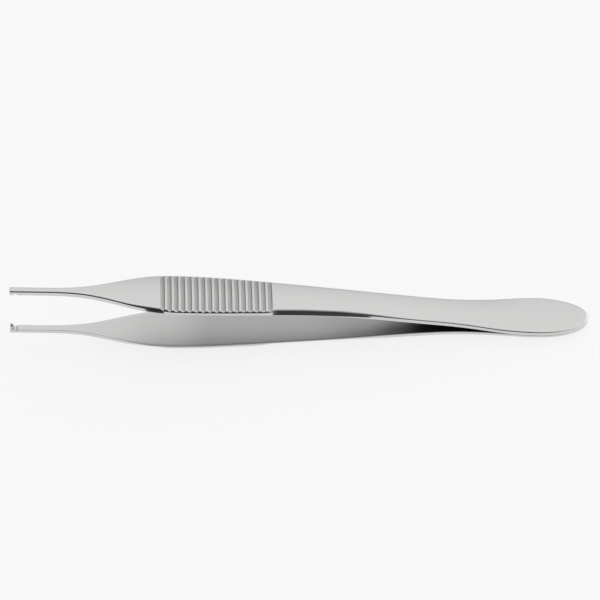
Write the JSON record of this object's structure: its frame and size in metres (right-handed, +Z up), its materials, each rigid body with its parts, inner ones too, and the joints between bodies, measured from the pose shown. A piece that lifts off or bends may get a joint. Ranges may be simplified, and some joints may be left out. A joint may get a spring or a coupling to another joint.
{
  "type": "thumb forceps",
  "caption": "Fine-tipped thumb forceps in satin stainless steel: two sprung leaves welded at a rounded heel, broad fluted grips, interlocking teeth at the tips.",
  "frame": {"origin": "on the surface it lies on, under the centre of its bounding box", "axes": "+X from the tips towards the welded heel, +Y across the leaves, +Z up from the surface"},
  "size_m": [0.1202, 0.0092, 0.019],
  "materials": {
    "satin_steel": "satin stainless steel, polished along the edges of the heel"
  },
  "bodies": {
    "root": {"upper_leaf": "satin_steel", "lower_leaf": "satin_steel"}
  },
  "joints": []
}
